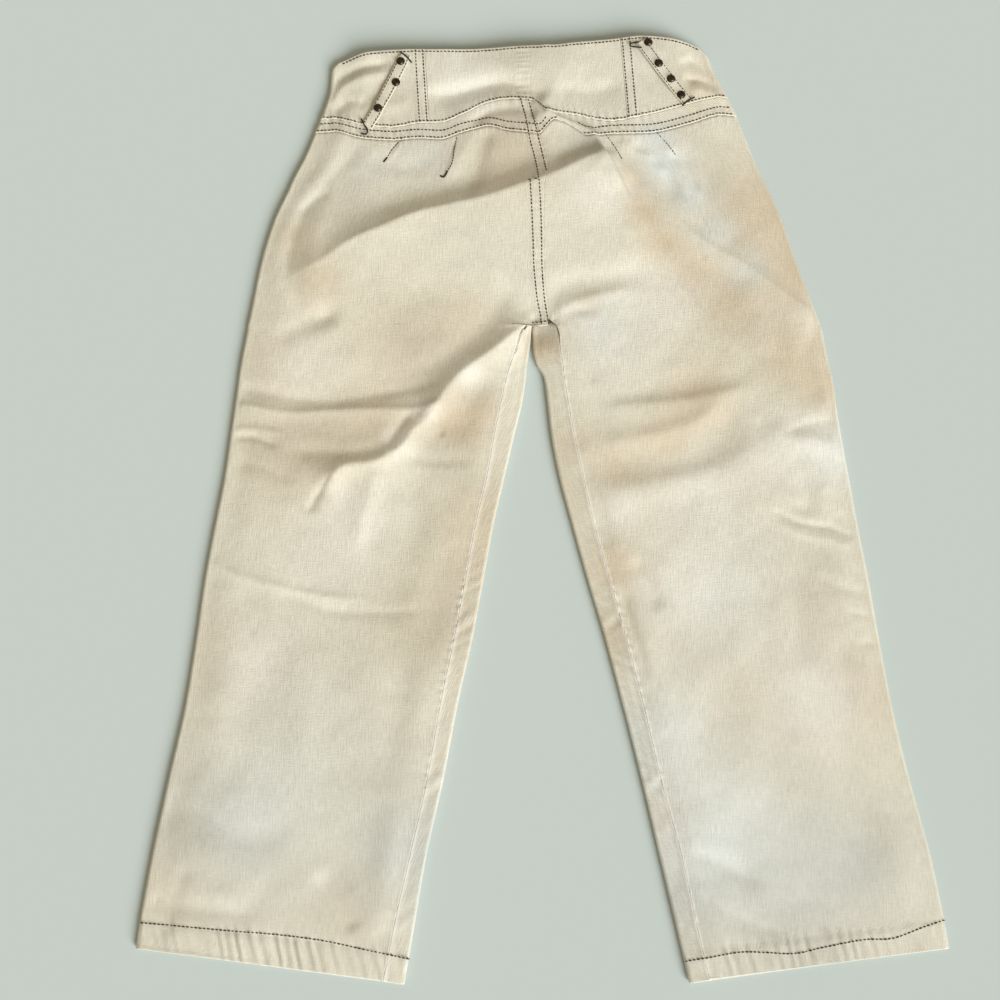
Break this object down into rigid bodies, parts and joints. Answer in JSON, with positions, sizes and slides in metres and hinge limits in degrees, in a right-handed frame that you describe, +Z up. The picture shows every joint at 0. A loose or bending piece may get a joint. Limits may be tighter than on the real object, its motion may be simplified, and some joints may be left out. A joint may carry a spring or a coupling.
{
  "type": "capri pants lying flat, back side up",
  "caption": "Cream twill capri pants laid flat on their front: shaped waistband with two riveted slanting belt loops, narrow yoke, darted back and wide cropped legs.",
  "frame": {"origin": "centre of the garment's box, on the surface that it lies on", "axes": "+X to the right as the back is seen from above, +Y from the hems to the waist, +Z up from the surface"},
  "size_m": [0.6592, 0.8448, 0.0171],
  "materials": {
    "cream_twill": "matt twill with dark brown topstitching",
    "zip_tape": "matt woven tape",
    "dark_bronze": "dark antiqued metal"
  },
  "bodies": {
    "root": {"back_panel_left": "cream_twill", "back_panel_right": "cream_twill", "front_panel_left": "cream_twill", "front_panel_right": "cream_twill", "yoke_left": "cream_twill", "yoke_right": "cream_twill", "waistband_back": "cream_twill", "waistband_left": "cream_twill", "waistband_right": "cream_twill", "belt_loop_left": "cream_twill", "belt_loop_right": "cream_twill", "zip": "zip_tape", "fly_shield": "cream_twill", "button": "dark_bronze", "rivet_left_1": "dark_bronze", "rivet_left_2": "dark_bronze", "rivet_left_3": "dark_bronze", "rivet_right_1": "dark_bronze", "rivet_right_2": "dark_bronze", "rivet_right_3": "dark_bronze", "rivet_right_4": "dark_bronze"}
  },
  "joints": []
}
